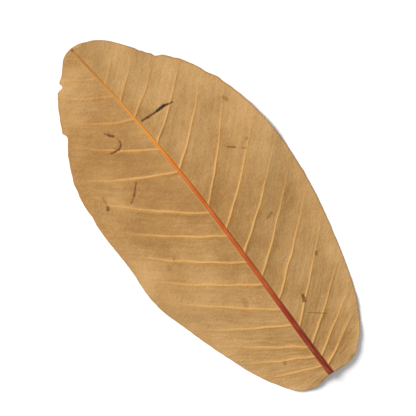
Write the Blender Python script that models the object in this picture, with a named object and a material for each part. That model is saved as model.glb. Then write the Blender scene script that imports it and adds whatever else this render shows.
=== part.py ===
"""A dried autumn leaf, lying on its upper face with the veined underside up.

Blade, midrib and lateral veins grew as one piece, so they are one closed solid.
The leaf lies along +Y from its base to its tip. The origin is the centre of its
bounding box, on the surface that it rests on.
"""

import math

import bmesh
import bpy
from mathutils import Vector

MM = 0.001

# Driving dimensions, in millimetres until LEAF_SCALE turns them into metres.
LEAF_SCALE = MM
MIDRIB_LENGTH = 125.0
BLADE_THICKNESS = 0.32
VEIN_HEIGHT = 0.28
VEIN_HALF_WIDTH = 0.8
MIDRIB_HALF_WIDTH_BASE = 1.15
MIDRIB_HALF_WIDTH_TIP = 0.45
MIDRIB_HEIGHT_BASE = 1.0
MIDRIB_HEIGHT_TIP = 0.12
MIDRIB_BOW = 2.5
VEIN_SAG = 1.2

# Each margin from the corner of the blunt base to the tip: (across, along).
RIGHT_MARGIN = (
    (4.6, -0.8), (8.4, -0.4), (12.0, 1.9), (16.0, 6.0), (22.0, 16.5), (27.5, 33.5),
    (31.4, 50.0), (33.0, 67.0), (31.8, 82.0), (28.0, 95.0), (22.5, 105.0), (15.5, 113.5),
    (8.6, 122.0), (0.0, 125.2),
)
LEFT_MARGIN = (
    (-4.4, -0.7), (-8.2, 0.1), (-12.2, 3.0), (-17.2, 11.5), (-21.2, 22.0), (-25.6, 37.0),
    (-28.4, 49.5), (-27.7, 63.0), (-27.5, 77.0), (-25.4, 91.5), (-20.6, 101.5),
    (-15.0, 112.5), (-7.6, 121.5), (0.0, 125.2),
)

# Each lateral vein: where it leaves the midrib, along the midrib, and the share of
# the margin that it reaches.
RIGHT_VEINS = (
    (2.2, 0.131), (5.3, 0.183), (9.9, 0.246), (16.4, 0.340), (26.9, 0.408), (35.5, 0.471),
    (44.5, 0.525), (53.6, 0.592), (62.4, 0.672), (76.4, 0.726), (86.8, 0.774), (97.2, 0.826),
    (103.4, 0.871), (110.2, 0.910),
)
LEFT_VEINS = (
    (3.0, 0.123), (6.4, 0.185), (9.8, 0.254), (18.2, 0.313), (23.8, 0.412), (33.3, 0.464),
    (41.6, 0.530), (51.5, 0.595), (60.2, 0.668), (76.0, 0.715), (84.6, 0.788), (96.6, 0.836),
    (105.8, 0.890), (113.2, 0.928),
)
# Plain rows that round the corners of the base and the tip, counted from the base
# (the first vein is 1) and from the last vein.
BASE_ROWS = (0.0, 0.05, 0.12, 0.2, 0.29, 0.38, 0.5)
TIP_ROWS = (0.3, 0.5, 0.68, 0.83, 0.94)

# Heights of the blade over the surface, as (share of the length, height).
MIDRIB_LINE = ((0.0, 2.8), (0.2, 4.6), (0.45, 7.0), (0.7, 6.2), (0.85, 5.6), (1.0, 7.4))
RIGHT_LINE = (
    (0.0, 2.2), (0.12, 0.8), (0.25, -0.6), (0.42, -0.6), (0.55, 1.4), (0.68, -0.5),
    (0.8, 0.3), (0.9, 3.2), (1.0, 7.4),
)
LEFT_LINE = (
    (0.0, 1.2), (0.14, -0.5), (0.3, -0.6), (0.42, 1.1), (0.55, -0.6), (0.7, -0.6),
    (0.82, 1.5), (0.92, 4.4), (1.0, 7.4),
)

# Stations across each half blade: shares of the midrib's half width, then
# shares of the way from the midrib to the margin.
MIDRIB_STATIONS = (0.6, 1.0)
BLADE_STATIONS = (0.16, 0.34, 0.52, 0.68, 0.81, 0.91, 1.0)
VEIN_FADE_START = 0.55

LEAF_COLOUR = (0.50, 0.27, 0.095, 1.0)
LEAF_ROUGHNESS = 0.78


def smooth_curve(points, position):
    """Point at `position`, from 0 to len(points) - 1, on a Catmull-Rom spline."""
    segment = min(int(position), len(points) - 2)
    t = position - segment
    start, end = Vector(points[segment]), Vector(points[segment + 1])
    before = Vector(points[segment - 1]) if segment > 0 else 2 * start - end
    after = Vector(points[segment + 2]) if segment + 2 < len(points) else 2 * end - start
    return 0.5 * (
        2 * start
        + (end - before) * t
        + (2 * before - 5 * start + 4 * end - after) * t**2
        + (3 * start - before - 3 * end + after) * t**3
    )


def ease(t):
    return t * t * (3 - 2 * t)


def value_at(line, share):
    """Height of a (share, height) line at `share`, eased between its points."""
    for (low, start), (high, end) in zip(line, line[1:]):
        if share <= high:
            t = (share - low) / (high - low)
            return start + (end - start) * ease(t)
    return line[-1][1]


def midrib_point(share):
    bow = MIDRIB_BOW * math.sin(math.pi * share**1.3)
    return Vector((bow, share * MIDRIB_LENGTH))


def midrib_size(share):
    half_width = MIDRIB_HALF_WIDTH_BASE + (MIDRIB_HALF_WIDTH_TIP - MIDRIB_HALF_WIDTH_BASE) * share
    height = MIDRIB_HEIGHT_BASE + (MIDRIB_HEIGHT_TIP - MIDRIB_HEIGHT_BASE) * share**0.8
    return half_width, height


class Half:
    """One half of the blade: its margin, its lateral veins and its heights."""

    SAMPLES_PER_SPAN = 24

    def __init__(self, margin, opposite, veins, line):
        # Carrying the curve past both ends, into the other margin, rounds the tip
        # and keeps the base straight.
        whole = (opposite[0],) + margin + (opposite[-2],)
        count = (len(margin) - 1) * self.SAMPLES_PER_SPAN
        self.samples = [
            smooth_curve(whole, 1 + i / self.SAMPLES_PER_SPAN) for i in range(count + 1)
        ]
        self.lengths = [0.0]
        for start, end in zip(self.samples, self.samples[1:]):
            self.lengths.append(self.lengths[-1] + (end - start).length)
        self.lines = ((0.0, 0.0),) + veins + ((MIDRIB_LENGTH, 1.0),)
        self.height_line = line

    def margin_at(self, share):
        wanted = share * self.lengths[-1]
        for i in range(1, len(self.samples)):
            if wanted <= self.lengths[i]:
                t = (wanted - self.lengths[i - 1]) / (self.lengths[i] - self.lengths[i - 1])
                return self.samples[i - 1].lerp(self.samples[i], t)
        return self.samples[-1].copy()

    def lateral(self, place):
        """(share of the midrib, share of the margin) that the line at `place` joins.

        Whole places are the base, the veins and the tip, in that order.
        """
        k = min(int(place), len(self.lines) - 2)
        (root, end), (next_root, next_end) = self.lines[k], self.lines[k + 1]
        t = place - k
        return (root + (next_root - root) * t) / MIDRIB_LENGTH, end + (next_end - end) * t

    def row(self, place, relief, crest_share):
        """(plan point, lower height, upper height) from beside the midrib to the margin."""
        own_share, end_share = self.lateral(place)
        margin = self.margin_at(end_share)
        half_width, rib_height = midrib_size(own_share)
        reach = (margin - midrib_point(own_share)).length
        stations = []
        for part in MIDRIB_STATIONS:
            # On the midrib itself the rows of both halves run together.
            share = crest_share + (own_share - crest_share) * ease(part)
            out = min(part * half_width / reach, 0.1 * part)
            stations.append((share, out, rib_height * math.sqrt(1 - part**2)))
        for out in BLADE_STATIONS:
            fade = 1 - max(0.0, out - VEIN_FADE_START) / (1 - VEIN_FADE_START)
            stations.append((own_share, out, relief * VEIN_HEIGHT * fade))
        rim = value_at(self.height_line, end_share)
        points = []
        for share, out, rise in stations:
            sag = VEIN_SAG * 4 * out * (1 - out) * math.sin(math.pi * share)
            plan = midrib_point(share).lerp(margin, out) - Vector((0.0, sag))
            ridge = value_at(MIDRIB_LINE, share)
            low = max(0.0, ridge + (rim - ridge) * (0.35 * out + 0.65 * ease(out)))
            points.append((plan, low, low + BLADE_THICKNESS + rise))
        return points


def rows(left, right):
    """(place, relief, share of the midrib) of each lateral line, base to tip."""
    crests = [(a + b) / 2 for (a, _), (b, _) in zip(left.lines, right.lines)]
    last_vein = len(crests) - 2
    stations = [(place, 0.0) for place in BASE_ROWS]
    for k in range(1, last_vein + 1):
        before = VEIN_HALF_WIDTH / (crests[k] - crests[k - 1])
        after = VEIN_HALF_WIDTH / (crests[k + 1] - crests[k])
        stations += [(k - before, 0.0), (k, 1.0), (k + after, 0.0)]
        if k < last_vein:
            stations.append((k + 0.5, 0.0))
    stations += [(last_vein + place, 0.0) for place in TIP_ROWS]
    placed = []
    for place, relief in stations:
        k = min(int(place), last_vein)
        crest = crests[k] + (crests[k + 1] - crests[k]) * (place - k)
        placed.append((place, relief, crest / MIDRIB_LENGTH))
    return placed


def leaf_rows():
    """Every row of the blade, left margin to right margin, base to tip."""
    right = Half(RIGHT_MARGIN, LEFT_MARGIN, RIGHT_VEINS, RIGHT_LINE)
    left = Half(LEFT_MARGIN, RIGHT_MARGIN, LEFT_VEINS, LEFT_LINE)
    grid = []
    for place, relief, share in rows(left, right):
        low = value_at(MIDRIB_LINE, share)
        crest = (midrib_point(share), low, low + BLADE_THICKNESS + midrib_size(share)[1])
        row = left.row(place, relief, share)[::-1]
        row.append(crest)
        row += right.row(place, relief, share)
        grid.append(row)
    return grid


def add_face_grid(bm, grid, level):
    """One face of the blade as a quad grid; level 1 is the lower face, 2 the upper."""
    layer = []
    for row in grid:
        layer.append([bm.verts.new((*point[0], point[level])) for point in row])
    tip_low = value_at(MIDRIB_LINE, 1.0)
    tip_height = tip_low if level == 1 else tip_low + BLADE_THICKNESS
    tip = bm.verts.new((*midrib_point(1.0), tip_height))
    for near, far in zip(layer, layer[1:]):
        for i in range(len(near) - 1):
            bm.faces.new((near[i], near[i + 1], far[i + 1], far[i]))
    for start, end in zip(layer[-1], layer[-1][1:]):
        bm.faces.new((start, end, tip))
    boundary = layer[0] + [row[-1] for row in layer[1:]] + [tip]
    boundary += [row[0] for row in reversed(layer[1:])]
    return boundary


def leaf_mesh():
    bm = bmesh.new()
    grid = leaf_rows()
    lower = add_face_grid(bm, grid, 1)
    upper = add_face_grid(bm, grid, 2)
    for i, start in enumerate(lower):
        following = (i + 1) % len(lower)
        bm.faces.new((start, lower[following], upper[following], upper[i]))
    bmesh.ops.recalc_face_normals(bm, faces=bm.faces)
    bmesh.ops.scale(bm, vec=(LEAF_SCALE,) * 3, verts=bm.verts)

    xs = [vert.co.x for vert in bm.verts]
    ys = [vert.co.y for vert in bm.verts]
    centre = Vector(((min(xs) + max(xs)) / 2, (min(ys) + max(ys)) / 2, 0.0))
    bmesh.ops.translate(bm, vec=-centre, verts=bm.verts)

    mesh = bpy.data.meshes.new("leaf")
    bm.to_mesh(mesh)
    bm.free()
    mesh.shade_smooth()
    mesh.set_sharp_from_angle(angle=math.radians(50))
    return mesh


def leaf_material():
    material = bpy.data.materials.new("dry_leaf")
    material.use_nodes = True
    shader = material.node_tree.nodes["Principled BSDF"]
    shader.inputs["Base Color"].default_value = LEAF_COLOUR
    shader.inputs["Roughness"].default_value = LEAF_ROUGHNESS
    shader.inputs["Metallic"].default_value = 0.0
    return material


def main():
    for existing in list(bpy.data.objects):
        bpy.data.objects.remove(existing, do_unlink=True)
    leaf = bpy.data.objects.new("leaf", leaf_mesh())
    leaf.data.materials.append(leaf_material())
    bpy.context.scene.collection.objects.link(leaf)


main()
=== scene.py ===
"""Looks of a dried autumn leaf that lies underside up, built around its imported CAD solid."""
import math

import bpy
import numpy as np
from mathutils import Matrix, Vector, noise


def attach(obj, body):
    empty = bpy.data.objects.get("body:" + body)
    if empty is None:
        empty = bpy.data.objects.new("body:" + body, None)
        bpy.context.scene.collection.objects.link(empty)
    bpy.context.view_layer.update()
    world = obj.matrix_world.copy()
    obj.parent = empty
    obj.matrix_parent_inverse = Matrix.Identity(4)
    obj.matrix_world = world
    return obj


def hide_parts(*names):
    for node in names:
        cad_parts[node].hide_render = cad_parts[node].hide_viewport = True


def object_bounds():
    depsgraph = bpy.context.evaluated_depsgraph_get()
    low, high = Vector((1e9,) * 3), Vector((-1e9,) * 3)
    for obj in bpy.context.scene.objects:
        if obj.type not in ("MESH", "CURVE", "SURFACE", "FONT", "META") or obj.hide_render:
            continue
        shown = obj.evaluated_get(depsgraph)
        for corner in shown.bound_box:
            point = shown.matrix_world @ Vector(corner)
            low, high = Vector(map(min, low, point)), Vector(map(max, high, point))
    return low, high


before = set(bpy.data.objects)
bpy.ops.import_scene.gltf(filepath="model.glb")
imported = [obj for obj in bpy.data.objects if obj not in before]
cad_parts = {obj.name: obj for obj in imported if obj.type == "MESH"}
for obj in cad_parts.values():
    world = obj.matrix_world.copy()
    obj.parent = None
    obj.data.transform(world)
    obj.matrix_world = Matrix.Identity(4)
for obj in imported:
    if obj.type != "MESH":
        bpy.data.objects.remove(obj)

CAD_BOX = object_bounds()
MM = 0.001

# ---------------------------------------------------------------- driving dimensions, mm
MIDRIB_LENGTH = 125.0
MIDRIB_BOW = 2.5
BLADE_THICKNESS = 0.32
RIM_BULGE = 0.10

# At the base, and at RIB_TIP_SHARE of the length.
RIB_HALF_WIDTH = (1.05, 0.42)
RIB_HEIGHT = (1.0, 0.14)
RIB_TIP_SHARE = 0.9
# At the midrib, and at the margin.
VEIN_HALF_WIDTH = (0.45, 0.25)
VEIN_HEIGHT = (0.42, 0.09)
VEIN_SAG = 1.2
VEIN_WAVER = 0.45
VEIN_WAVER_SIZE = 6.5
# Grooves under the veins and the midrib, in the face that lies down.
VEIN_GROOVE = 0.10
VEIN_GROOVE_HALF_WIDTH = 0.46
RIB_GROOVE = 0.22

# The blade sags between two veins, to this depth where they are at least this far apart.
QUILT_DEPTH = 0.17
QUILT_FULL_GAP = 9.0
# Waves of the whole blade: (height, size, seed, share of the half width where they are full).
BLADE_WAVES = ((0.28, 9.0, 0.0, 0.15), (0.08, 3.2, 3.0, 0.10))
# Ripples that run with the lateral veins, and waves of the curled margin: height, size.
FIBRE_RIPPLE = (0.05, (9.0, 1.5))
CURL_WAVE = (0.35, 5.5)
SURFACE_EASE = 0.15                # how softly the blade bends where it meets the surface
# Small waves of the margin: their height, and the (size, share, seed) of each.
MARGIN_RAGGEDNESS = 0.22
MARGIN_WAVES = ((2.6, 1.0, 0.0), (7.0, 0.6, 5.0))
# Round a slit or a scar: depth, height of its raised lip, how far it is eased, and the
# strength from which a mark is no deeper.
MARK_DEPTH = 0.15
MARK_LIP = 0.06
MARK_EASE = 0.3
MARK_FULL_STRENGTH = 0.8

# Each margin from the corner of the blunt base to the tip: (across, along).
RIGHT_MARGIN = (
    (4.6, -0.8), (8.4, -0.4), (12.0, 1.9), (16.0, 6.0), (22.0, 16.5), (27.5, 33.5),
    (31.4, 50.0), (33.0, 67.0), (31.8, 82.0), (28.0, 95.0), (22.5, 105.0), (15.5, 113.5),
    (8.6, 122.0), (0.0, 125.2),
)
LEFT_MARGIN = (
    (-4.4, -0.7), (-8.2, 0.1), (-12.2, 3.0), (-17.2, 11.5), (-21.2, 22.0),
    (-25.6, 37.0), (-28.4, 49.5), (-27.7, 63.0), (-27.5, 77.0), (-25.4, 91.5), (-20.6, 101.5),
    (-15.0, 112.5), (-7.6, 121.5), (0.0, 125.2),
)
# Where the lateral veins leave the midrib, along the midrib.
RIGHT_ROOTS = (2.2, 5.3, 9.9, 16.4, 26.9, 35.5, 44.5, 53.6, 62.4, 76.4, 86.8, 97.2, 103.4, 110.2)
LEFT_ROOTS = (3.0, 6.4, 9.8, 18.2, 23.8, 33.3, 41.6, 51.5, 60.2, 76.0, 84.6, 96.6, 105.8, 113.2)
# Where the same veins reach the margin, as shares of its length.
RIGHT_ENDS = (
    0.131, 0.183, 0.246, 0.340, 0.408, 0.471, 0.525, 0.592, 0.672, 0.726, 0.774, 0.826, 0.871, 0.910,
)
LEFT_ENDS = (
    0.123, 0.185, 0.254, 0.313, 0.412, 0.464, 0.530, 0.595, 0.668, 0.715, 0.788, 0.836, 0.890, 0.928,
)
# Bites out of the margin: (share of the margin from base to tip, depth, length of the
# bite towards the base, and towards the tip).
RIGHT_BITES = (
    (0.716, 0.3, 2.5, 2.5), (0.785, 0.2, 1.4, 1.4), (0.825, 0.6, 2.6, 1.3),
    (0.837, 0.6, 9.0, 4.5), (0.858, 0.35, 1.2, 1.8),
)
LEFT_BITES = (
    (0.629, 0.3, 3.0, 3.0), (0.812, 1.2, 6.0, 0.9), (0.914, 1.4, 1.7, 1.5), (0.940, 0.8, 4.5, 6.0),
)

# Marks on the blade, in plan coordinates: (start, end, half width, strength).
SLIT = (
    ((3.2, 95.1), (5.2, 94.8), 0.30, 0.35),
    ((5.2, 94.8), (8.6, 94.6), 0.25, 0.45),
    ((8.6, 94.6), (11.2, 94.6), 0.36, 0.95),
    ((11.2, 94.6), (12.4, 94.3), 0.28, 0.7),
    ((12.4, 94.3), (13.9, 93.9), 0.19, 0.2),
)
SCARS = (
    ((-10.3, 93.3), (-9.0, 92.95), 0.22, 0.75),
    ((-9.0, 92.95), (-7.7, 92.8), 0.27, 0.9),
    ((-7.7, 92.8), (-6.5, 93.3), 0.28, 0.9),
    ((-6.5, 93.3), (-5.9, 94.4), 0.26, 0.85),
    ((-5.9, 94.4), (-5.9, 95.7), 0.18, 0.5),
    ((-6.5, 96.9), (-7.3, 98.0), 0.36, 0.95),
    ((-7.3, 98.0), (-8.1, 99.2), 0.26, 0.7),
    ((-15.0, 77.9), (-12.9, 79.0), 0.26, 0.65),
    ((-12.9, 79.0), (-10.0, 81.6), 0.24, 0.8),
    ((-21.4, 80.6), (-20.8, 84.6), 0.26, 0.35),
    ((18.5, 73.0), (20.2, 71.4), 0.26, 0.65),
    ((21.6, 69.9), (22.6, 69.2), 0.24, 0.4),
    ((10.2, 14.9), (6.1, 18.6), 0.16, 0.5),
)
SPOTS = (
    ((7.4, 22.2), (8.1, 23.6), 0.42, 0.85),
    ((19.1, 30.8), (19.5, 31.2), 0.42, 0.6),
    ((14.4, 48.6), (16.4, 49.0), 0.36, 0.45),
    ((24.4, 71.2), (24.8, 71.3), 0.42, 0.4),
    ((-18.4, 55.2), (-18.0, 55.8), 0.55, 0.25),
    ((-15.6, 56.4), (-15.4, 56.6), 0.26, 0.45),
    ((-21.8, 80.8), (-21.4, 81.2), 0.42, 0.8),
    ((-9.2, 10.7), (-9.0, 11.2), 0.45, 0.4),
    ((-7.2, 32.0), (-6.6, 33.6), 0.7, 0.28),
    ((27.4, 84.2), (27.0, 85.4), 0.5, 0.4),
    ((0.0, 124.5), (0.2, 124.9), 0.4, 0.6),
)
# The stain round the slit: the same strokes, all of one strength.
SLIT_STAIN = tuple((start, end, half_width, 0.8) for start, end, half_width, _ in SLIT)

# Heights of the blade over the surface, as (share of the length, height).
MIDRIB_LINE = ((0.0, 2.8), (0.2, 4.6), (0.45, 7.0), (0.7, 6.2), (0.85, 5.6), (1.0, 7.4))
RIGHT_LINE = (
    (0.0, 2.2), (0.12, 0.8), (0.25, -0.6), (0.42, -0.6), (0.55, 1.4), (0.68, -0.5),
    (0.8, 0.3), (0.9, 3.2), (1.0, 7.4),
)
LEFT_LINE = (
    (0.0, 1.2), (0.14, -0.5), (0.3, -0.6), (0.42, 1.1), (0.55, -0.6), (0.7, -0.6),
    (0.82, 1.5), (0.92, 4.4), (1.0, 7.4),
)

# Mesh spacing: rows follow the lateral veins, columns run beside the midrib.
ROWS_BESIDE_VEIN = (0.16, 0.32, 0.52, 0.78, 1.15)
ROW_SPACING = 0.75
ROWS_AT_BITE = (-1.0, -0.6, -0.3, 0.0, 0.3, 0.6, 1.0)
# Extra rows at both ends, counted in veins from the base and back from the tip.
ROWS_AT_BASE = (0.012, 0.04, 0.09, 0.17)
ROWS_AT_TIP = (0.12, 0.06, 0.025, 0.008)
LEAST_ROW_GAP = 0.006
RIB_COLUMNS = (0.22, 0.42, 0.6, 0.76, 0.88, 1.0, 1.18, 1.5)
BLADE_COLUMNS = 54
MIDDLE_COLUMN = 20                 # where the gap between two veins is measured
FIBRE_PER_VEIN = 8.0               # step of the fibre coordinate from vein to vein


# ---------------------------------------------------------------- plan of the leaf
def smoothstep(x):
    x = np.clip(x, 0.0, 1.0)
    return x * x * (3 - 2 * x)


def eased(line, share):
    """Height of a (share, height) line at each share, eased between its points."""
    share = np.asarray(share, float)
    value = np.full(share.shape, float(line[0][1]))
    for (low, start), (high, end) in zip(line, line[1:]):
        value += (end - start) * smoothstep((share - low) / (high - low))
    return value


def catmull_rom(points, per_span=40):
    """Dense points of a Catmull-Rom spline through points[1:-1]."""
    p = np.array(points, float)
    t = np.linspace(0, 1, per_span, endpoint=False)[:, None]
    spans = []
    for before, start, end, after in zip(p, p[1:], p[2:], p[3:]):
        spans.append(0.5 * (
            2 * start
            + (end - before) * t
            + (2 * before - 5 * start + 4 * end - after) * t**2
            + (3 * start - before - 3 * end + after) * t**3
        ))
    return np.vstack(spans + [p[-2:-1]])


class Half:
    """One half of the blade: its margin, its vein roots and its heights."""

    def __init__(self, margin, opposite, roots, ends, bites, line, seed):
        self.curve = catmull_rom((opposite[0],) + margin + (opposite[-2],))
        steps = np.linalg.norm(np.diff(self.curve, axis=0), axis=1)
        run = np.concatenate(([0.0], np.cumsum(steps)))
        self.length = run[-1]
        self.share = run / run[-1]
        self.roots = np.array((0.0,) + roots + (MIDRIB_LENGTH,)) / MIDRIB_LENGTH
        self.ends = np.array((0.0,) + ends + (1.0,))
        self.bites = bites
        self.line = line
        self.seed = seed

    def margin(self, share):
        columns = [np.interp(share, self.share, self.curve[:, k]) for k in (0, 1)]
        return np.stack(columns, -1)

    def bitten(self, share):
        """How far the torn, wavy margin lies inside the smooth one."""
        wave = np.array([
            sum(
                part * noise.noise(Vector((s * self.length / size, self.seed, seed)))
                for size, part, seed in MARGIN_WAVES
            )
            for s in share
        ])
        depth = MARGIN_RAGGEDNESS * wave
        depth = depth * smoothstep(share / 0.05) * smoothstep((1 - share) / 0.04)
        for place, bite, to_base, to_tip in self.bites:
            away = (share - place) * self.length
            away = np.where(away < 0, -away / to_base, away / to_tip)
            depth = depth + bite * (1 - smoothstep(away))
        return depth


RIGHT = Half(RIGHT_MARGIN, LEFT_MARGIN, RIGHT_ROOTS, RIGHT_ENDS, RIGHT_BITES, RIGHT_LINE, 11.0)
LEFT = Half(LEFT_MARGIN, RIGHT_MARGIN, LEFT_ROOTS, LEFT_ENDS, LEFT_BITES, LEFT_LINE, 47.0)


def midrib(share):
    share = np.asarray(share, float)
    return np.stack((MIDRIB_BOW * np.sin(math.pi * share**1.3), share * MIDRIB_LENGTH), -1)


def row_phases():
    """Phase of every mesh row: whole numbers on the veins, closer together beside them."""
    roots = (RIGHT.roots + LEFT.roots) / 2 * MIDRIB_LENGTH
    ends = (RIGHT.ends * RIGHT.length + LEFT.ends * LEFT.length) / 2
    phases = []
    for k, gap in enumerate(np.maximum(np.diff(roots), np.diff(ends))):
        inner = np.array([0.0] + [d / gap for d in ROWS_BESIDE_VEIN if d < 0.3 * gap])
        count = max(2, math.ceil((1 - 2 * inner[-1]) * gap / ROW_SPACING) + 1)
        middle = np.linspace(inner[-1], 1 - inner[-1], count)[1:-1]
        phases += list(k + np.concatenate((inner, middle, 1 - inner[:0:-1])))
    for half in (RIGHT, LEFT):
        for place, _, to_base, to_tip in half.bites:
            away = np.array(ROWS_AT_BITE)
            shares = place + away * np.where(away < 0, to_base, to_tip) / half.length
            phases += list(np.interp(shares, half.ends, np.arange(len(half.ends))))
    last = len(roots) - 1
    phases += [*ROWS_AT_BASE, *(last - row for row in ROWS_AT_TIP)]
    phases = np.unique(np.array(phases)[np.array(phases) < last])
    return phases[np.append(True, np.diff(phases) > LEAST_ROW_GAP)]


def noise_field(plan, size, seed):
    """Smooth noise in -1..1 over plan points, with features of about `size` mm."""
    flat = plan.reshape(-1, 2) / size
    values = [noise.noise(Vector((x, y, seed))) for x, y in flat]
    return np.array(values).reshape(plan.shape[:-1])


def tapered(pair, share):
    """A size that runs from pair[0] at the base to pair[1] near the tip."""
    return pair[0] + (pair[1] - pair[0]) * np.clip(share / RIB_TIP_SHARE, 0, 1) ** 0.85


def column_places(rib):
    """Share of the way from the midrib's centre line to the margin, for every column."""
    inner = rib[:, None] * np.array(RIB_COLUMNS)
    last = inner[:, -1:]
    t = np.linspace(0, 1, BLADE_COLUMNS + 1)[1:]
    outer = last + (1 - last) * (t - 0.08 * np.sin(2 * math.pi * t) / (2 * math.pi))
    return np.hstack((inner, outer))


def side_grid(half, phases, shared):
    """Plan points, lateral, margin and outward shares, and fibre coordinates of a half."""
    numbers = np.arange(len(half.roots))
    share = np.interp(phases, numbers, half.roots)
    end_share = np.interp(phases, numbers, half.ends)
    root, end = midrib(share), half.margin(end_share)
    reach = np.linalg.norm(end - root, axis=1)
    tangent = midrib(share + 0.0025) - midrib(np.maximum(share - 0.0025, 0.0))
    tangent /= np.linalg.norm(tangent, axis=1)[:, None]
    aim = (end - root) / reach[:, None]
    square = np.abs(aim[:, 0] * tangent[:, 1] - aim[:, 1] * tangent[:, 0])
    rib = np.minimum(tapered(RIB_HALF_WIDTH, share) / (reach * square), 0.3)
    out = column_places(rib)

    # A bite draws in the outer part of its rows.
    kept = 1 - half.bitten(end_share) / np.maximum(reach, 2.0)
    shrunk = out * (1 - smoothstep((out - 0.6) / 0.4) * (1 - kept[:, None]))
    sag = VEIN_SAG * 4 * out * (1 - out) * np.sin(math.pi * share)[:, None]
    plan = root[:, None] + (end - root)[:, None] * shrunk[..., None]
    plan[..., 1] -= sag
    free = smoothstep(out / 0.12) * (1 - smoothstep((out - 0.8) / 0.2))
    plan[..., 1] += VEIN_WAVER * noise_field(plan, VEIN_WAVER_SIZE, half.seed + 20) * free
    # On the midrib itself the rows of both halves run together.
    joined = 1 - smoothstep(out / rib[:, None])
    plan += (midrib(shared) - root)[:, None] * joined[..., None]
    lateral = share[:, None] + (shared - share)[:, None] * joined
    fibre_number = np.repeat(phases[:, None], out.shape[1], 1) * FIBRE_PER_VEIN
    fibre = np.stack((out * reach[:, None], fibre_number), -1)
    return plan, lateral, np.repeat(end_share[:, None], out.shape[1], 1), out, fibre


# ---------------------------------------------------------------- heights
def vein_distance(plan, phases, half):
    """Distance of each point from its nearest lateral vein, square to the vein."""
    along_rows = np.gradient(plan, axis=0) / np.gradient(phases)[:, None, None]
    along_vein = np.gradient(plan, axis=1)
    length = np.linalg.norm(along_vein, axis=-1)
    cross = along_rows[..., 0] * along_vein[..., 1] - along_rows[..., 1] * along_vein[..., 0]
    per_phase = np.abs(cross) / np.maximum(length, 1e-9)
    nearest = np.clip(np.round(phases), 1, len(half.roots) - 2)
    return np.abs(phases - nearest)[:, None] * per_phase


def midrib_distance(plan, lateral, shared):
    """Distance of each point from the midrib's centre line, square to the midrib."""
    tangent = np.gradient(midrib(shared), axis=0)
    tangent /= np.linalg.norm(tangent, axis=1)[:, None]
    offset = plan - midrib(lateral)
    return np.abs(offset[..., 0] * tangent[:, None, 1] - offset[..., 1] * tangent[:, None, 0])


def stroke_distance(plan, start, end):
    """Distance of each plan point from the straight line between two plan points."""
    run = np.array(end) - start
    away = plan - start
    share = np.clip((away @ run) / (run @ run), 0, 1)
    return np.linalg.norm(away - share[..., None] * run, axis=-1)


def rounded(distance, half_width):
    """Cross-section of a vein: 1 on its crest, easing to 0 at about twice its half width."""
    return 1 / (1 + (distance / half_width) ** 2) ** 2


def lower_face(half, phases, plan, lateral, end_share, out, fibre):
    """Height of the face that lies down, over the surface that the leaf rests on."""
    ridge = eased(MIDRIB_LINE, lateral)
    rim = eased(half.line, end_share)
    low = ridge + (rim - ridge) * (0.35 * out + 0.65 * out * out * (3 - 2 * out))

    between_veins = np.sin(math.pi * (phases % 1.0))[:, None] ** 2
    vein_gap = np.abs(np.gradient(plan[:, MIDDLE_COLUMN, 1]) / np.gradient(phases))
    room = np.clip(vein_gap / QUILT_FULL_GAP, 0.25, 1.0)
    fade = smoothstep(out / 0.1) * (1 - 0.75 * smoothstep((out - 0.55) / 0.45))
    low = low - QUILT_DEPTH * between_veins * fade * room[:, None]
    for height, size, seed, full in BLADE_WAVES:
        low = low + height * noise_field(plan, size, half.seed + seed) * smoothstep(out / full)
    height, size = FIBRE_RIPPLE
    low = low + height * noise_field(fibre / size, 1.0, half.seed + 6) * smoothstep(out / 0.1)
    height, size = CURL_WAVE
    curl = smoothstep((out - 0.75) / 0.25)
    low = low + height * noise_field(plan, size, half.seed + 9) * curl
    # Nothing goes below the surface: the blade bends softly where it meets it.
    return 0.5 * (low + np.sqrt(low**2 + SURFACE_EASE**2))


def surface_fields(half, phases, shared):
    """Everything that the mesh and its materials read, for one half blade."""
    plan, lateral, end_share, out, fibre = side_grid(half, phases, shared)
    low = lower_face(half, phases, plan, lateral, end_share, out, fibre)
    gap = vein_distance(plan, phases, half)
    uneven = 1 + 0.35 * noise_field(plan, 4.0, half.seed + 13)
    width = (VEIN_HALF_WIDTH[0] + (VEIN_HALF_WIDTH[1] - VEIN_HALF_WIDTH[0]) * out) * uneven
    height = VEIN_HEIGHT[0] + (VEIN_HEIGHT[1] - VEIN_HEIGHT[0]) * smoothstep(out / 0.9)
    height = height * (1 - smoothstep((out - 0.80) / 0.16)) * uneven
    height = height * (1 - 0.7 * smoothstep((lateral - 0.70) / 0.2))
    vein = height * rounded(gap, width)

    rib_width = tapered(RIB_HALF_WIDTH, lateral)
    rib = midrib_distance(plan, lateral, shared)
    rib_rise = tapered(RIB_HEIGHT, lateral) * np.clip(1 - (rib / rib_width) ** 2, 0, 1) ** 0.6
    vein = vein * smoothstep((rib / rib_width - 0.4) / 0.5)
    upper_rise = np.maximum(rib_rise, vein)
    for start, end, half_width, strength in SLIT + SCARS:
        near = stroke_distance(plan, start, end) / (half_width + MARK_EASE)
        sunk = MARK_DEPTH * np.exp(-(near**2)) - MARK_LIP * np.exp(-((near - 2) ** 2))
        upper_rise = upper_rise - min(strength, MARK_FULL_STRENGTH) * sunk * (rib > rib_width)
    lower_rise = VEIN_GROOVE * rounded(gap, VEIN_GROOVE_HALF_WIDTH) * (1 - out)
    lower_rise = lower_rise + RIB_GROOVE * rounded(rib, 0.5 * rib_width)
    return {
        "plan": plan, "low": low, "upper_rise": upper_rise, "lower_rise": lower_rise,
        "vein_mm": gap, "rib_share": rib / rib_width, "out": out,
        "fibre": fibre,
    }


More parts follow.
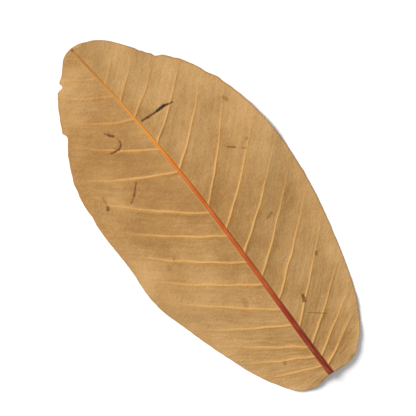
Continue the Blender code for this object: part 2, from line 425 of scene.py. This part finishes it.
def joined_fields():
    """Both halves side by side, left margin to right margin, with the midrib between."""
    phases = row_phases()
    numbers = np.arange(len(RIGHT.roots))
    shared = np.interp(phases, numbers, (RIGHT.roots + LEFT.roots) / 2)
    left, right = (surface_fields(half, phases, shared) for half in (LEFT, RIGHT))
    crest = {
        "plan": midrib(shared)[:, None],
        "low": eased(MIDRIB_LINE, shared)[:, None],
        "upper_rise": tapered(RIB_HEIGHT, shared)[:, None],
        "lower_rise": np.full((len(phases), 1), RIB_GROOVE),
        "vein_mm": (left["vein_mm"][:, :1] + right["vein_mm"][:, :1]) / 2,
        "rib_share": np.zeros((len(phases), 1)),
        "out": np.zeros((len(phases), 1)),
        "fibre": np.stack((np.zeros(len(phases)), phases * FIBRE_PER_VEIN), -1)[:, None],
    }
    left["fibre"][..., 0] *= -1
    return {
        name: np.concatenate((left[name][:, ::-1], crest[name], right[name]), axis=1)
        for name in crest
    }


# ---------------------------------------------------------------- mesh
def leaf_faces(rows, columns):
    """(lower faces, upper faces, vertices round the margin).

    The vertices are the lower grid and its tip, the same again for the upper face,
    and then the ring that rounds the margin between them.
    """
    index = np.arange(rows * columns).reshape(rows, columns)
    tip = index.size
    up = tip + 1
    ring = np.concatenate((index[0], index[1:, -1], [tip], index[:0:-1, 0]))
    following = np.roll(ring, -1)
    rim = 2 * up + np.arange(len(ring))
    next_rim = np.roll(rim, -1)
    a, b = index[:-1, :-1].ravel(), index[:-1, 1:].ravel()
    c, d = index[1:, 1:].ravel(), index[1:, :-1].ravel()
    fan = np.column_stack((index[-1, :-1], index[-1, 1:], np.full(columns - 1, tip)))
    lower_side = (
        np.column_stack((a, d, c, b)),
        fan[:, ::-1],
        np.column_stack((ring, following, next_rim, rim)),
    )
    upper_side = (
        np.column_stack((a, b, c, d)) + up,
        fan + up,
        np.column_stack((rim, next_rim, following + up, ring + up)),
    )
    lower, upper = (
        [face for part in side for face in part.tolist()] for side in (lower_side, upper_side)
    )
    return lower, upper, ring


def leaf_points(fields, ring):
    """Places of the vertices in leaf millimetres, in the order that leaf_faces counts them."""
    tip_low = float(eased(MIDRIB_LINE, 1.0))
    plan = np.vstack((fields["plan"].reshape(-1, 2), midrib(1.0)))
    low = np.append((fields["low"] + fields["lower_rise"]).ravel(), tip_low)
    high = (fields["low"] + BLADE_THICKNESS + fields["upper_rise"]).ravel()
    high = np.append(high, tip_low + BLADE_THICKNESS)
    turn = np.roll(plan[ring], -1, axis=0) - np.roll(plan[ring], 1, axis=0)
    outward = np.stack((turn[:, 1], -turn[:, 0]), -1)
    outward /= np.linalg.norm(outward, axis=1)[:, None]
    return np.vstack((
        np.column_stack((plan, low)),
        np.column_stack((plan, high)),
        np.column_stack((plan[ring] + RIM_BULGE * outward, (low[ring] + high[ring]) / 2)),
    ))


def store_fields(mesh, fields, points, ring):
    """Leaves the leaf's own coordinates on the mesh, for its materials."""
    def spread(values, tip_value):
        body = np.append(values.ravel(), tip_value)
        return np.concatenate((body, body, body[ring])).astype(np.float32)

    for name, tip_value in (("vein_mm", 5.0), ("rib_share", 0.0), ("out", 1.0)):
        attribute = mesh.attributes.new(name, "FLOAT", "POINT")
        attribute.data.foreach_set("value", spread(fields[name], tip_value))
    outward, number = fields["fibre"][..., 0], fields["fibre"][..., 1]
    fibre = np.column_stack((
        spread(outward, 0.0),
        spread(number, FIBRE_PER_VEIN * len(RIGHT.roots)),
        np.zeros(len(points)),
    ))
    for name, vectors in (("leaf_mm", points), ("fibre_mm", fibre)):
        attribute = mesh.attributes.new(name, "FLOAT_VECTOR", "POINT")
        attribute.data.foreach_set("vector", vectors.astype(np.float32).ravel())


def add_bake_map(mesh, flat, upper_start):
    """UV map with the upper side on its left half and the lower side, mirrored, on its right.

    `flat` holds every vertex's plan place from the centre, `upper_start` the first upper face.
    """
    extent = np.ptp(flat, axis=0)
    from_centre = flat / (1.02 * max(extent[1], 2 * extent[0]))
    corner = np.empty(len(mesh.loops), np.int32)
    mesh.loops.foreach_get("vertex_index", corner)
    is_upper = np.arange(len(corner)) >= mesh.polygons[upper_start].loop_start
    u = np.where(is_upper, 0.25 + from_centre[corner, 0], 0.75 - from_centre[corner, 0])
    v = 0.5 + from_centre[corner, 1]
    layer = mesh.uv_layers.new(name="OFBake")
    layer.uv.foreach_set("vector", np.column_stack((u, v)).astype(np.float32).ravel())


def leaf_mesh():
    """(the closed mesh of the leaf, the number of its first upper face)."""
    fields = joined_fields()
    lower, upper, ring = leaf_faces(*fields["low"].shape)
    points = leaf_points(fields, ring)
    centre = (points[:, :2].min(0) + points[:, :2].max(0)) / 2
    flat = points[:, :2] - centre
    cad_centre = (CAD_BOX[0] + CAD_BOX[1]) / 2
    placed = np.column_stack((flat, points[:, 2])) * MM
    placed += (cad_centre.x, cad_centre.y, CAD_BOX[0].z)

    mesh = bpy.data.meshes.new("leaf")
    mesh.from_pydata(placed.tolist(), [], lower + upper)
    mesh.update()
    mesh.shade_smooth()
    store_fields(mesh, fields, points, ring)
    add_bake_map(mesh, flat, len(lower))
    return mesh, len(lower)


# ---------------------------------------------------------------- node materials
LIGHT_LEVEL = 1.2                  # how much brighter than its base colour the blade renders


def lit(red, green, blue):
    """The linear base colour that looks like these 0-255 sRGB values in the studio light."""
    linear = []
    for value in (red, green, blue):
        c = value / 255
        linear.append(((c + 0.055) / 1.055) ** 2.4 / LIGHT_LEVEL)
    return (*linear, 1.0)


VEIN_COLOUR = lit(224, 168, 92)
TIP_VEIN_COLOUR = lit(206, 142, 70)
STAIN_COLOUR = lit(110, 63, 10)
# Near-black core of the slit: a dark scar, deepened by painted shadow of the open tear.
SLIT_SCAR_AND_SHADOW_COLOUR = lit(46, 30, 12)
BLADE_COLOURS = (
    (0.24, lit(160, 115, 60)), (0.38, lit(175, 130, 72)), (0.50, lit(189, 145, 88)),
    (0.62, lit(199, 156, 99)), (0.78, lit(210, 169, 114)),
)
# Along the midrib, from base to tip.
RIB_COLOURS = (
    (0.0, lit(130, 34, 18)), (0.10, lit(138, 36, 20)), (0.20, lit(154, 50, 22)),
    (0.30, lit(188, 84, 34)), (0.42, lit(190, 82, 22)), (0.54, lit(194, 90, 16)),
    (0.64, lit(216, 114, 20)), (0.72, lit(218, 140, 38)), (0.82, lit(203, 135, 46)),
    (0.92, lit(189, 125, 50)), (1.0, lit(178, 123, 66)),
)
SMOOTH_SIDE_COLOURS = (
    (0.30, lit(190, 146, 104)), (0.43, lit(205, 162, 119)), (0.56, lit(215, 173, 130)),
    (0.72, lit(224, 184, 144)),
)


class Graph:
    """A Principled material and short names for the nodes that feed it."""

    def __init__(self, name):
        self.material = bpy.data.materials.new(name)
        self.material.use_nodes = True
        self.tree = self.material.node_tree
        self.shader = self.tree.nodes["Principled BSDF"]

    def node(self, kind, inputs=(), **settings):
        made = self.tree.nodes.new(kind)
        for key, value in settings.items():
            setattr(made, key, value)
        for key, value in dict(inputs).items():
            self.feed(made.inputs[key], value)
        return made

    def feed(self, socket, value):
        if isinstance(value, bpy.types.NodeSocket):
            self.tree.links.new(value, socket)
        else:
            socket.default_value = value

    def field(self, name, output="Fac"):
        return self.node("ShaderNodeAttribute", attribute_name=name).outputs[output]

    def math(self, operation, a, b=0.0, c=0.0):
        return self.node("ShaderNodeMath", {0: a, 1: b, 2: c}, operation=operation).outputs[0]

    def vector(self, operation, inputs, output=0):
        return self.node("ShaderNodeVectorMath", inputs, operation=operation).outputs[output]

    def product(self, first, *others):
        for other in others:
            first = self.math("MULTIPLY", first, other)
        return first

    def plus(self, value, layer, amount):
        """The value with `amount` times the layer added."""
        return self.math("MULTIPLY_ADD", layer, amount, value)

    def ease(self, value, start, end, low=0.0, high=1.0):
        """Eases from low to high as value goes from start to end."""
        made = self.node(
            "ShaderNodeMapRange",
            {0: value, 1: start, 2: end, 3: low, 4: high},
            interpolation_type="SMOOTHSTEP",
        )
        return made.outputs[0]

    def noise(self, place, size, detail=3.0, roughness=0.55, stretch=(1, 1, 1), shift=0.0):
        """Noise in about 0..1 with features of `size` mm."""
        scaled = self.node(
            "ShaderNodeMapping",
            {"Vector": place, "Scale": [s / size for s in stretch], "Location": (shift,) * 3},
        )
        made = self.node(
            "ShaderNodeTexNoise",
            {"Vector": scaled.outputs[0], "Scale": 1.0, "Detail": detail, "Roughness": roughness},
        )
        return made.outputs["Fac"]

    def cells(self, place, size):
        """Distance from the nearest wall of a net of cells about `size` mm wide."""
        wander = self.node(
            "ShaderNodeTexNoise", {"Vector": place, "Scale": 0.8 / size, "Detail": 2.0}
        ).outputs["Color"]
        bent = self.vector("MULTIPLY_ADD", {0: wander, 1: (1.3 * size,) * 3, 2: place})
        made = self.node(
            "ShaderNodeTexVoronoi",
            {"Vector": bent, "Scale": 1 / size, "Randomness": 1.0},
            feature="DISTANCE_TO_EDGE",
        )
        return made.outputs["Distance"]

    def mix(self, share, first, second):
        made = self.node("ShaderNodeMix", data_type="RGBA")
        self.feed(made.inputs[0], share)
        self.feed(made.inputs[6], first)
        self.feed(made.inputs[7], second)
        return made.outputs[2]

    def between(self, share, first, second):
        """A number that runs from first to second as share goes from 0 to 1."""
        return self.node("ShaderNodeMix", {0: share, 2: first, 3: second}).outputs[0]

    def ramp(self, share, stops):
        made = self.node("ShaderNodeValToRGB", {0: share})
        elements = made.color_ramp.elements
        while len(elements) < len(stops):
            elements.new(0.5)
        for element, (place, colour) in zip(elements, stops):
            element.position = place
            element.color = colour
        return made.outputs[0]

    def frayed(self, place, amount):
        """Plan coordinates shifted by up to about `amount` mm, so that edges look uneven."""
        wander = self.node(
            "ShaderNodeTexNoise", {"Vector": place, "Scale": 0.9, "Detail": 3.0, "Roughness": 0.6}
        ).outputs["Color"]
        centred = self.vector("SUBTRACT", {0: wander, 1: (0.5, 0.5, 0.5)})
        shift = self.vector("MULTIPLY", {0: centred, 1: (amount, amount, 0.0)})
        return self.vector("ADD", {0: place, 1: shift})

    def stroke(self, place, start, end, half_width):
        """1 on a straight stroke between two plan points, easing to 0 beside it."""
        run = Vector((*end, 0.0)) - Vector((*start, 0.0))
        from_start = self.vector("SUBTRACT", {0: place, 1: (*start, 0.0)})
        flat = self.vector("MULTIPLY", {0: from_start, 1: (1, 1, 0)})
        dot = self.vector("DOT_PRODUCT", {0: flat, 1: run}, "Value")
        share = self.node(
            "ShaderNodeMath", {0: dot, 1: 1 / run.length_squared},
            operation="MULTIPLY", use_clamp=True,
        ).outputs[0]
        nearest = self.vector("SCALE", {0: run, "Scale": share})
        distance = self.vector("DISTANCE", {0: flat, 1: nearest}, "Value")
        return self.ease(distance, half_width, 0.35 * half_width)

    def marked(self, colour, place, marks, widening, mark_colour):
        """The colour with (start, end, half width, strength) strokes laid over it."""
        for start, end, half_width, strength in marks:
            stroke = self.stroke(place, start, end, widening * half_width)
            colour = self.mix(self.product(stroke, strength), colour, mark_colour)
        return colour

    def bump(self, height_mm):
        made = self.node("ShaderNodeBump", {"Height": self.product(height_mm, MM), "Distance": 1.0})
        made.inputs["Strength"].default_value = 1.0
        self.feed(self.shader.inputs["Normal"], made.outputs[0])


def blade_tone(g, place, across, along, out, fine_layers):
    """How light the blade is, from clouds to grain: about 0.2 for dull, 0.8 for bright."""
    streaks = g.noise(g.field("fibre_mm", "Vector"), 1.1, roughness=0.6, stretch=(0.14, 1, 1))
    layers = (
        (g.noise(place, 30.0, detail=1.0), 0.40),
        (g.noise(place, 11.0, detail=2.0, shift=2.0), 0.32),
        *fine_layers,
        (streaks, g.ease(along, 0.05, 0.35, 0.75, 0.30)),
    )
    tone = 0.5
    for layer, amount in layers:
        tone = g.plus(tone, g.math("SUBTRACT", layer, 0.5), amount)
    # Painted shade: the left half is darker from about 40% to 95% of the length, as the side that
    # slopes away from the light.
    painted_shade_half = g.product(
        g.ease(across, 3.0, -5.0), g.ease(along, 0.40, 0.62), g.ease(along, 0.95, 0.82)
    )
    # Painted light: the right half is lighter towards the tip.
    painted_light_tip = g.product(g.ease(across, -2.0, 12.0), g.ease(along, 0.70, 0.86))
    dull_centre = g.product(
        g.ease(out, 0.5, 0.0), g.ease(along, 0.12, 0.45), g.ease(along, 0.92, 0.72)
    )
    broad = (
        (painted_shade_half, -0.16), (painted_light_tip, 0.09), (dull_centre, -0.13),
        # Lighter towards the margin and at the base; at the base partly the paler lobes, partly
        # painted light that offsets the shade of the slope there.
        (g.ease(out, 0.55, 1.0), 0.06), (g.ease(along, 0.12, 0.0), 0.06),
    )
    for layer, amount in broad:
        tone = g.plus(tone, layer, amount)
    return tone


def vein_strength(g, place, across, along, out):
    """How strongly the lateral veins' colour shows: less by the margin and near the tip."""
    vein_line = g.ease(g.field("vein_mm"), 0.80, 0.08)
    vein_fade = g.ease(out, 0.95, 0.45, 0.05, 0.70)
    worn = g.ease(g.noise(place, 5.0, shift=11.0), 0.30, 0.55, 0.65, 1.0)
    near_tip = g.ease(along, 0.72, 0.92, 1.0, 0.45)
    dim_half = g.between(g.ease(across, -1.0, 3.0), 1.0, g.ease(along, 0.45, 0.75, 1.0, 0.62))
    return g.product(vein_line, vein_fade, worn, near_tip, dim_half)


def veined_side_material():
    """The underside of the leaf, which faces up: tan, with raised amber veins."""
    g = Graph("dry_leaf_veined_side")
    place = g.field("leaf_mm", "Vector")
    out = g.field("out")
    rib = g.field("rib_share")
    plan = g.node("ShaderNodeSeparateXYZ", {0: place})
    across = plan.outputs["X"]
    along = g.math("DIVIDE", plan.outputs["Y"], MIDRIB_LENGTH)

    grain = g.noise(place, 0.9, roughness=0.65, shift=3.0)
    mottle = g.noise(place, 4.5, detail=4.0, roughness=0.6, shift=7.0)
    tone = blade_tone(g, place, across, along, out, ((mottle, 0.30), (grain, 0.26)))
    colour = g.ramp(tone, BLADE_COLOURS)

    off_rib = g.ease(rib, 0.8, 1.4)
    net = g.product(g.ease(g.cells(place, 2.1), 0.12, 0.0), off_rib)
    fine_net = g.product(g.ease(g.cells(place, 0.95), 0.14, 0.0), off_rib)
    colour = g.mix(g.product(net, 0.12), colour, lit(212, 166, 104))
    colour = g.mix(g.product(fine_net, 0.10), colour, lit(164, 120, 70))

    vein_colour = g.mix(g.ease(along, 0.68, 0.86), VEIN_COLOUR, TIP_VEIN_COLOUR)
    colour = g.mix(vein_strength(g, place, across, along, out), colour, vein_colour)

    colour = g.mix(g.ease(rib, 1.9, 1.1, 0.0, 0.35), colour, lit(204, 158, 92))
    streaks = g.noise(place, 0.5, detail=2.0, stretch=(1.0, 0.08, 1.0), shift=5.0)
    light_streaks = g.ease(streaks, 0.45, 0.75, 0.0, 0.30)
    rib_colour = g.mix(light_streaks, g.ramp(along, RIB_COLOURS), lit(226, 150, 84))
    rib_line = g.ease(rib, 1.08, 0.72)
    colour = g.mix(rib_line, colour, rib_colour)

    rim = g.product(g.ease(out, 0.975, 1.0, 0.0, 0.55), g.ease(along, 0.55, 0.95, 0.25, 1.0))
    colour = g.mix(rim, colour, lit(160, 102, 48))
    stained = g.frayed(place, 0.7)
    colour = g.marked(colour, stained, SPOTS + SCARS, 1.7, STAIN_COLOUR)
    colour = g.marked(colour, stained, SLIT_STAIN, 2.0, STAIN_COLOUR)
    # The slit's core: a dark scar with painted shadow of the open tear.
    colour = g.marked(colour, g.frayed(place, 0.5), SLIT, 1.5, SLIT_SCAR_AND_SHADOW_COLOUR)
    g.feed(g.shader.inputs["Base Color"], colour)

    rough = g.ease(mottle, 0.3, 0.7, 0.62, 0.76)
    g.feed(g.shader.inputs["Roughness"], g.between(rib_line, rough, 0.52))
    g.shader.inputs["Specular IOR Level"].default_value = 0.28
    relief = g.product(grain, 0.06)
    relief = g.plus(relief, net, 0.04)
    relief = g.plus(relief, fine_net, 0.02)
    relief = g.plus(relief, g.product(streaks, rib_line), 0.10)
    g.bump(relief)
    return g.material


def smooth_side_material():
    """The upper side of the leaf, which faces down: smoother, pinker, veins sunken."""
    g = Graph("dry_leaf_smooth_side")
    place = g.field("leaf_mm", "Vector")
    out = g.field("out")
    clouds = g.noise(place, 20.0, shift=21.0)
    mottle = g.noise(place, 3.5, detail=4.0, roughness=0.6, shift=17.0)
    tone = g.plus(g.product(mottle, 0.4), clouds, 0.6)
    tone = g.plus(tone, g.ease(out, 0.6, 1.0), -0.05)
    colour = g.ramp(tone, SMOOTH_SIDE_COLOURS)
    specks = g.ease(g.noise(place, 1.6, detail=1.0, shift=31.0), 0.68, 0.76, 0.0, 0.5)
    colour = g.mix(specks, colour, lit(146, 88, 56))
    groove = g.ease(g.field("vein_mm"), 0.40, 0.08)
    groove = g.product(groove, g.ease(out, 0.95, 0.3, 0.1, 0.5))
    colour = g.mix(groove, colour, lit(180, 130, 88))
    colour = g.mix(g.ease(g.field("rib_share"), 0.75, 0.45), colour, lit(186, 118, 76))
    colour = g.mix(g.ease(out, 0.975, 1.0, 0.0, 0.5), colour, lit(150, 96, 60))
    colour = g.marked(colour, g.frayed(place, 0.5), SLIT_STAIN, 1.2, lit(84, 54, 34))
    g.feed(g.shader.inputs["Base Color"], colour)
    g.feed(g.shader.inputs["Roughness"], g.ease(mottle, 0.3, 0.7, 0.46, 0.60))
    g.shader.inputs["Specular IOR Level"].default_value = 0.4
    g.bump(g.product(mottle, 0.06))
    return g.material


def floor_material():
    g = Graph("studio_floor")
    g.shader.inputs["Base Color"].default_value = (0.92, 0.92, 0.92, 1.0)
    g.shader.inputs["Roughness"].default_value = 0.9
    g.shader.inputs["Specular IOR Level"].default_value = 0.1
    return g.material


# ---------------------------------------------------------------- pieces
FLOOR_HALF_SIZE = 1.5
FLOOR_GAP = 0.02 * MM


def add_object(name, data):
    made = bpy.data.objects.new(name, data)
    bpy.context.scene.collection.objects.link(made)
    return made


def build_leaf():
    mesh, first_upper_face = leaf_mesh()
    leaf = add_object("dried_leaf", mesh)
    mesh.materials.append(veined_side_material())
    mesh.materials.append(smooth_side_material())
    slots = np.zeros(len(mesh.polygons), np.int32)
    slots[:first_upper_face] = 1
    mesh.polygons.foreach_set("material_index", slots)
    mesh.update()
    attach(leaf, "root")
    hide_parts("leaf")


def build_floor():
    half = FLOOR_HALF_SIZE
    mesh = bpy.data.meshes.new("floor")
    corners = [(-half, -half, 0), (half, -half, 0), (half, half, 0), (-half, half, 0)]
    mesh.from_pydata(corners, [], [(0, 1, 2, 3)])
    mesh.materials.append(floor_material())
    floor = add_object("studio_floor", mesh)
    floor.location.z = CAD_BOX[0].z - FLOOR_GAP


# ---------------------------------------------------------------- light and camera
LEAF_TURN = math.radians(38.8)     # the tip points up and to the left in the main view
CAMERA_HEIGHT = 0.60
LENS = 172.0
KEY_TURN = math.radians(150.0)     # where the key light stands, round the main view
KEY_RISE = math.radians(48.0)
KEY_DISTANCE = 0.9
KEY_SIZE = 0.45
KEY_POWER = 9.0
WORLD_LIGHT = 0.50


def build_camera(target):
    data = bpy.data.cameras.new("camera")
    data.lens = LENS
    data.clip_start = 0.01
    camera = add_object("camera", data)
    camera.location = target + Vector((0, 0, CAMERA_HEIGHT))
    camera.rotation_euler = (0, 0, -LEAF_TURN)
    bpy.context.scene.camera = camera


def build_lights(target):
    data = bpy.data.lights.new("key", "AREA")
    data.shape = "DISK"
    data.size = KEY_SIZE
    data.energy = KEY_POWER
    key = add_object("key", data)
    turn = KEY_TURN - LEAF_TURN
    back = Vector((
        math.cos(turn) * math.cos(KEY_RISE), math.sin(turn) * math.cos(KEY_RISE), math.sin(KEY_RISE)
    ))
    key.location = target + KEY_DISTANCE * back
    key.rotation_euler = back.to_track_quat("Z", "Y").to_euler()

    world = bpy.data.worlds.new("studio")
    bpy.context.scene.world = world
    world.use_nodes = True
    background = world.node_tree.nodes["Background"]
    background.inputs["Color"].default_value = (1.0, 1.0, 1.0, 1.0)
    background.inputs["Strength"].default_value = WORLD_LIGHT


build_leaf()
build_floor()
TARGET = (CAD_BOX[0] + CAD_BOX[1]) / 2
build_camera(TARGET)
build_lights(TARGET)
bpy.context.scene.view_settings.view_transform = "Standard"
